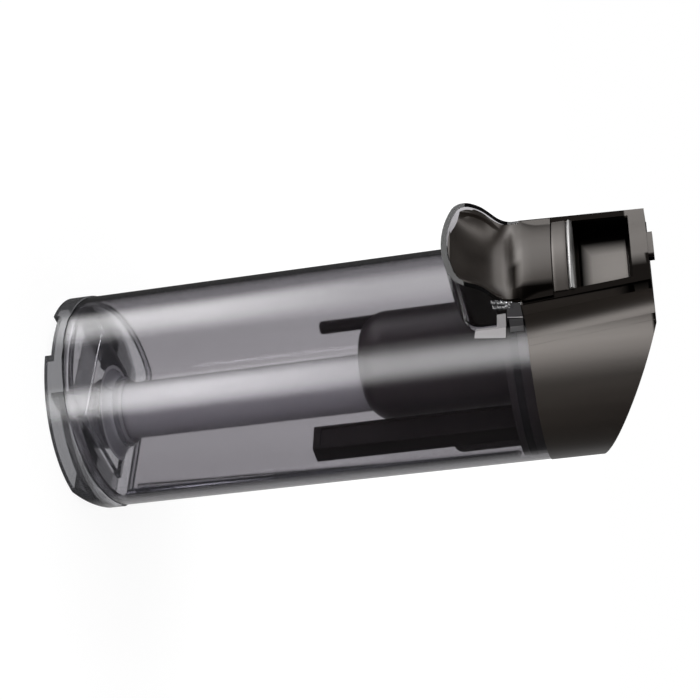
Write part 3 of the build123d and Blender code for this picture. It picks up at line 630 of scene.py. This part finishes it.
# Skin of the finger scoop, which runs on over the neck in one saddle.
# At height z: y = -(floor(z) + wall(z) * (|x| / half) ** power(z)), and over the cheeks' front
# edges at least their reach.
grip = {"half": 22.1, "neckLow": 23.8, "neckHigh": 22.7, "low": 190.0, "top": 231.75, "thick": 0.9,
        "rows": 90, "columns": 70, "seam": 218, "neckTall": 14, "mouthBow": 5.4, "cornerRise": 6.2,
        "cornerFrom": 0.7, "cornerOver": 0.3, "cornerSteep": 0.98, "widenFrom": 217.2,
        "widenOver": 2, "coverFrom": 217.4, "coverLow": 57.75, "coverRise": 0.022,
        "floorAt": (189, 194, 198, 201, 203, 205, 207, 209, 211, 213, 216, 219, 222, 226, 232),
        "floor": (72.0, 66.95, 63.0, 60.2, 58.6, 57.4, 56.6, 56.25, 56.5, 57.3, 59.0, 60.1, 60.55,
                  60.65, 60.6),
        "wallAt": (189, 195, 200, 204, 207, 211, 214, 217, 219, 221, 223, 232),
        "wall": (0.6, 6.2, 9.6, 9.2, 6.2, 2.4, 0.3, -1.3, -2.3, -3.2, -3.8, -4.0),
        "powerAt": (189, 211, 217, 232), "power": (4.5, 4.5, 2.9, 2.6)}


def makeGripSkin():
    across = np.linspace(-1, 1, grip["columns"])
    up = np.linspace(0, 1, grip["rows"])
    t, u = np.meshgrid(np.abs(across), up)
    side = np.sign(np.meshgrid(across, up)[0])
    bent = np.clip((t - grip["cornerFrom"]) / grip["cornerOver"], 0, 1)
    rise = grip["cornerRise"] * (1 - np.sqrt(1 - grip["cornerSteep"] * bent ** 2))
    start = grip["low"] + grip["mouthBow"] * t ** 2 + rise
    z = start + (grip["top"] - start) * u
    ease = np.clip((z - grip["widenFrom"]) / grip["widenOver"], 0, 1)
    above = z - grip["seam"]
    cheek = grip["neckLow"] + (grip["neckHigh"] - grip["neckLow"]) * above / grip["neckTall"]
    half = grip["half"] + (cheek - grip["half"]) * ease * ease * (3 - 2 * ease)
    floor = smoothRun(z, grip["floorAt"], grip["floor"])
    wall = smoothRun(z, grip["wallAt"], grip["wall"])
    power = np.interp(z, grip["powerAt"], grip["power"])
    over = grip["coverLow"] + grip["coverRise"] * above  # just in front of the cheeks' edges
    cover = np.where(z > grip["coverFrom"], over, 0)
    y = -np.maximum(floor + wall * t ** power, cover)
    front = np.stack([side * t * half, y, z], -1)
    back = front + (0, grip["thick"], 0)
    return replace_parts(shellPiece("gripSkin", front, back, "head", "gripPlastic"),
                       "grip_neck")


# Bands between the cheeks: y = -(reach - sag * (x / half) ** 2 - crown * |2u - 1| ** power)
bands = {
    "ringSkin": {"low": 232.2, "high": 238.25, "half": 20.3, "reach": 60.8, "sag": 3.0,
                 "thick": 8.0, "crown": 0.25, "power": 6, "slot": "bronze", "paint": "litRingBronze",
                 "node": "ring_band"},
    "trimSkin": {"low": 238.45, "high": 240.85, "half": 19.9, "reach": 61.0, "sag": 2.6,
                 "thick": 8.0, "crown": 0.9, "power": 2, "slot": "silver", "paint": "silverStrip",
                 "node": "trim_strip"},
}


def makeBand(name):
    band = bands[name]
    across, u = gridOver(-1, 1, 40, 13)
    x = across * band["half"]
    crown = band["crown"] * np.abs(2 * u - 1) ** band["power"]
    y = -(band["reach"] - band["sag"] * (x / band["half"]) ** 2 - crown)
    z = band["low"] + (band["high"] - band["low"]) * u
    front, back = pointGrid(x, y, z), pointGrid(x, -band["reach"] + band["thick"], z)
    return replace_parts(shellPiece(name, front, back, "head", band["paint"]),
                       band["node"])


# Hollow blend between a cheek's side and the round head: a curve whose handle is the crease.
# Its roof falls with the head's slanted top.
blendOver = {"radius": 50.6, "low": 218.1, "top": 271.95, "slope": 0.47, "creaseReach": 41.0,
             "up": 6.5, "round": 9.0, "lowHalf": 25.0, "highHalf": 20.8, "seam": 218, "tall": 54,
             "sink": 0.25}


def makeCheekBlend(side):
    s, u = gridOver(0, 1, 16, 30)
    low, top, radius = blendOver["low"], blendOver["top"], blendOver["radius"]
    z = low + (top - low) * u
    narrows = blendOver["highHalf"] - blendOver["lowHalf"]
    half = blendOver["lowHalf"] + narrows * (z - blendOver["seam"]) / blendOver["tall"]
    crease = np.sqrt(radius ** 2 - half ** 2)
    turn = np.arctan2(half, crease) + blendOver["round"] / radius
    far = pointGrid(radius * np.sin(turn), -radius * np.cos(turn))
    near = pointGrid(half, -(crease + blendOver["up"]))
    middle = pointGrid(half, -crease)
    w = s[..., None]
    curve = handleCurve(w, near, middle, far)
    intoCrease = near + (middle - near) * 2 * w
    outOfCrease = middle + (far - middle) * (2 * w - 1)
    under = np.where(w < 0.5, intoCrease, outOfCrease)

    def lifted(plan, sink):
        fallen = np.clip(blendOver["creaseReach"] + plan[..., 1], 0, None) * blendOver["slope"]
        inward = plan * (1 - sink / np.linalg.norm(plan, axis=-1, keepdims=True))
        return pointGrid(side * inward[..., 0], inward[..., 1], low + (top - fallen - low) * u)

    name = "cheekBlendRight" if side > 0 else "cheekBlendLeft"
    front, back = lifted(curve, 0.0), lifted(under, blendOver["sink"])
    return shellPiece(name, front, back, "head", "bronzePlastic", sharp=60)


# Thick near corner on the inside of the tank, where its side meets its back: a hollow curve between
# both walls, and behind it a run along the back wall, which ends shortX before the walls meet, and
# then one round the side wall, which starts shortY before they do.
corner = {"low": 21.0, "high": 204.5, "inner": 47.8, "back": 27.5, "lowX": 33.2, "highX": 37.7,
          "sideY": 13.0, "hollow": 0.06, "shortX": 3.0, "shortY": 3.5,
          "backDone": 0.4, "change": 0.45, "sideFrom": 0.5}


def makeCornerFill():
    s, u = gridOver(0, 1, 20, 24)
    inner, back, sideY = corner["inner"], corner["back"], corner["sideY"]
    z = corner["low"] + (corner["high"] - corner["low"]) * u
    onBack = pointGrid(corner["lowX"] + (corner["highX"] - corner["lowX"]) * u, back)
    sideX = np.sqrt(inner ** 2 - sideY ** 2)
    onSide = pointGrid(np.full_like(u, sideX), sideY)
    bend = (onBack + onSide) / 2 * (1 - corner["hollow"])
    hollow = handleCurve(s[..., None], onBack, bend, onSide)
    endX = np.sqrt(inner ** 2 - back ** 2) - corner["shortX"]
    along = np.clip(s / corner["backDone"], 0, 1)
    backRun = pointGrid(onBack[..., 0] + (endX - onBack[..., 0]) * along, back)
    startY = back - corner["shortY"]
    startAngle = np.arctan2(startY, np.sqrt(inner ** 2 - startY ** 2))
    endAngle = np.arctan2(sideY, sideX)
    turned = np.clip((s - corner["sideFrom"]) / (1 - corner["sideFrom"]), 0, 1)
    angle = startAngle + (endAngle - startAngle) * turned
    arcRun = pointGrid(inner * np.cos(angle), inner * np.sin(angle))
    outer = np.where((s <= corner["change"])[..., None], backRun, arcRun)
    front = pointGrid(hollow[..., 0], hollow[..., 1], z)
    behind = pointGrid(outer[..., 0], outer[..., 1], z)
    return shellPiece("cornerFillRight", front, behind, "tank", "smokeDeep", sharp=40)


# Milky foot round the pipe, a hollow fillet turned about the pipe's axis:
# r = inner + (outer - inner) * (1 - u) ** fall and z = low + (high - low) * u ** rise.
# It is cut off at the back, where the tank's wall is.
foot = {"inner": 15.75, "outer": 23.0, "low": 12.7, "high": 15.8, "thick": 0.4, "fall": 2.4,
        "rise": 1.6, "cutY": 16.0, "sink": 0.05}


def makeFoot():
    turn, u = gridOver(0, 2 * pi, 97, 14)
    inner = foot["inner"] + foot["thick"]
    radius = inner + (foot["outer"] - inner) * (1 - u) ** foot["fall"]
    z = foot["low"] + (foot["high"] - foot["low"]) * u ** foot["rise"]

    def ring(r, height):
        y = np.minimum(-r * np.cos(turn), foot["cutY"]) - 1000 * eye["axisY"]
        return pointGrid(r * np.sin(turn), y, height)

    inside = np.maximum(radius - foot["thick"], foot["inner"])
    front, back = ring(radius, z), ring(inside, z - foot["sink"])
    return shellPiece("pipeFoot", front, back, "tank", "milkClear", sharp=60)


# Thin plates on the near cheek of the lip and on the tank beside it, each from four corners (y, z),
# in order. x = the cheek's plane or the tank's round wall, whichever lies further out.
# The lug swells by height * |sin(pi a s + lean u) sin(pi b u)| ** blunt, with a and b from "bumps".
plateFit = {"cheek": 25.04, "radius": 50.94, "reach": 50.9, "thick": 0.12, "lean": 0.6,
            "blunt": 0.7}
plates = {
    "lipPadLong": {"corners": ((-45.6, 197.0), (-45.0, 209.6), (-42.0, 209.0), (-42.8, 195.6)),
                   "paint": "padPlastic"},
    "lipPadTall": {"corners": ((-52.8, 207.1), (-53.0, 210.8), (-44.9, 209.7), (-45.3, 205.8)),
                   "paint": "padPlastic"},
    "lipPlateUpper": {"corners": ((-59.6, 212.4), (-58.2, 217.7), (-49.9, 217.5), (-50.9, 211.0)),
                      "paint": "platePlastic"},
    "lipPlateLower": {"corners": ((-49.2, 211.6), (-48.8, 217.4), (-43.2, 216.9), (-43.2, 211.2)),
                      "paint": "platePlastic"},
    "lipLine": {"corners": ((-50.8, 211.2), (-49.8, 217.6), (-49.2, 217.5), (-50.2, 211.1)),
                "paint": "padPlastic"},
    "lipLug": {"corners": ((-62.2, 205.6), (-59.6, 214.6), (-55.6, 214.2), (-56.0, 206.2)),
               "paint": "glintClear", "bumps": (4, 2), "height": 1.3},
}


def makePlate(name):
    plate = plates[name]
    a, b, c, d = (np.array(p) for p in plate["corners"])
    s, u = gridOver(0, 1, 33, 25)
    swell = 0 * s
    if "bumps" in plate:
        along, across = plate["bumps"]
        wave = np.sin(pi * along * s + plateFit["lean"] * u) * np.sin(pi * across * u)
        swell = plate["height"] * np.abs(wave) ** plateFit["blunt"]
    s, u = s[..., None], u[..., None]
    flat = (1 - u) * ((1 - s) * a + s * b) + u * ((1 - s) * d + s * c)
    y, z = flat[..., 0], flat[..., 1]
    wallX = np.sqrt(plateFit["radius"] ** 2 - np.minimum(np.abs(y), plateFit["reach"]) ** 2)

    def lifted(gap):
        return pointGrid(np.maximum(plateFit["cheek"], wallX) + gap, y, z)

    front, back = lifted(plateFit["thick"] + swell), lifted(0.0)
    return shellPiece(name, front, back, "tank", plate["paint"], sharp=40)


# Painted highlight and painted shade along the inside of the tank's near back corner: a white and a
# near-black half round, for its bright and dark streak, carried along a straight path from "low" to
# "high", which are (x, z).
paintedLines = {
    "cornerHighlightBead": {"low": (32.6, 21.0), "high": (37.9, 204.0), "y": 27.55, "radius": 0.5,
                   "paint": "highlightWhite"},
    "cornerShadeLine": {"low": (31.2, 21.0), "high": (36.6, 204.0), "y": 27.55, "radius": 0.3,
                   "paint": "shadeLineDark"},
}
paintedLineBack = 0.02  # how far the flat back lies behind the half round


def makePaintedLine(name):
    paintedLineSpec = paintedLines[name]
    turn, u = gridOver(0, pi, 9, 40)
    (lowX, lowZ), (highX, highZ) = paintedLineSpec["low"], paintedLineSpec["high"]
    x = lowX + (highX - lowX) * u + paintedLineSpec["radius"] * np.cos(turn)
    z = lowZ + (highZ - lowZ) * u
    front = pointGrid(x, paintedLineSpec["y"] - paintedLineSpec["radius"] * np.sin(turn), z)
    back = pointGrid(x, paintedLineSpec["y"] + paintedLineBack, z)
    return shellPiece(name, front, back, "tank", paintedLineSpec["paint"], sharp=60)


# Springs of round wire behind the panel, which close up as it is pressed. Path: a circle of the
# coil's radius that climbs along y; around it a ring of the wire's radius. Lengths are in metres.
spring = {"wire": 0.00035, "turns": 5.0, "rings": 181, "around": 10, "flat": 0.1, "travel": 0.003}


def makeSpring(nodeName):
    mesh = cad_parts[nodeName].data
    points = np.empty(len(mesh.vertices) * 3, np.float32)
    mesh.vertices.foreach_get("co", points)
    points = points.reshape(-1, 3).astype(float)
    low, high = points.min(0), points.max(0)
    middle = (low + high) / 2
    wire = spring["wire"]
    coil = (high[0] - low[0]) / 2 - wire
    around = np.linspace(0, 2 * pi, spring["around"], endpoint=False)
    u, phi = np.meshgrid(np.linspace(0, 1, spring["rings"]), around, indexing="ij")
    climb = np.clip((u - spring["flat"]) / (1 - 2 * spring["flat"]), 0, 1)
    turn = 2 * pi * spring["turns"] * u
    reach = coil + wire * np.cos(phi)
    x, z = middle[0] + reach * np.cos(turn), middle[2] + reach * np.sin(turn)
    y = low[1] + wire + (high[1] - low[1] - 2 * wire) * climb + wire * np.sin(phi)
    grid = pointGrid(x, y, z)
    index = np.arange(u.size).reshape(u.shape)
    after = np.roll(index, -1, axis=1)
    quads = np.stack([index[:-1], index[1:], after[1:], after[:-1]], -1).reshape(-1, 4)
    faces = quads.tolist() + [index[0].tolist(), index[-1, ::-1].tolist()]
    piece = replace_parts(meshPiece(nodeName + "_wire", grid.reshape(-1, 3), faces, "latch",
                                  "plainSteel"), nodeName)
    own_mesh(piece)
    return piece


def makeNewPieces():
    made = [makeGripSkin(), makeFoot()] + [makeBand(name) for name in bands]
    made += [makePlate(name) for name in plates] + [makePaintedLine(name) for name in paintedLines]
    made += [makeSpring(name) for name in ("latch_spring_left", "latch_spring_right")]
    made += [makeCheekBlend(side) for side in (-1, 1)] + [makeCornerFill()]
    return made


print("new pieces:", len(makeNewPieces()))
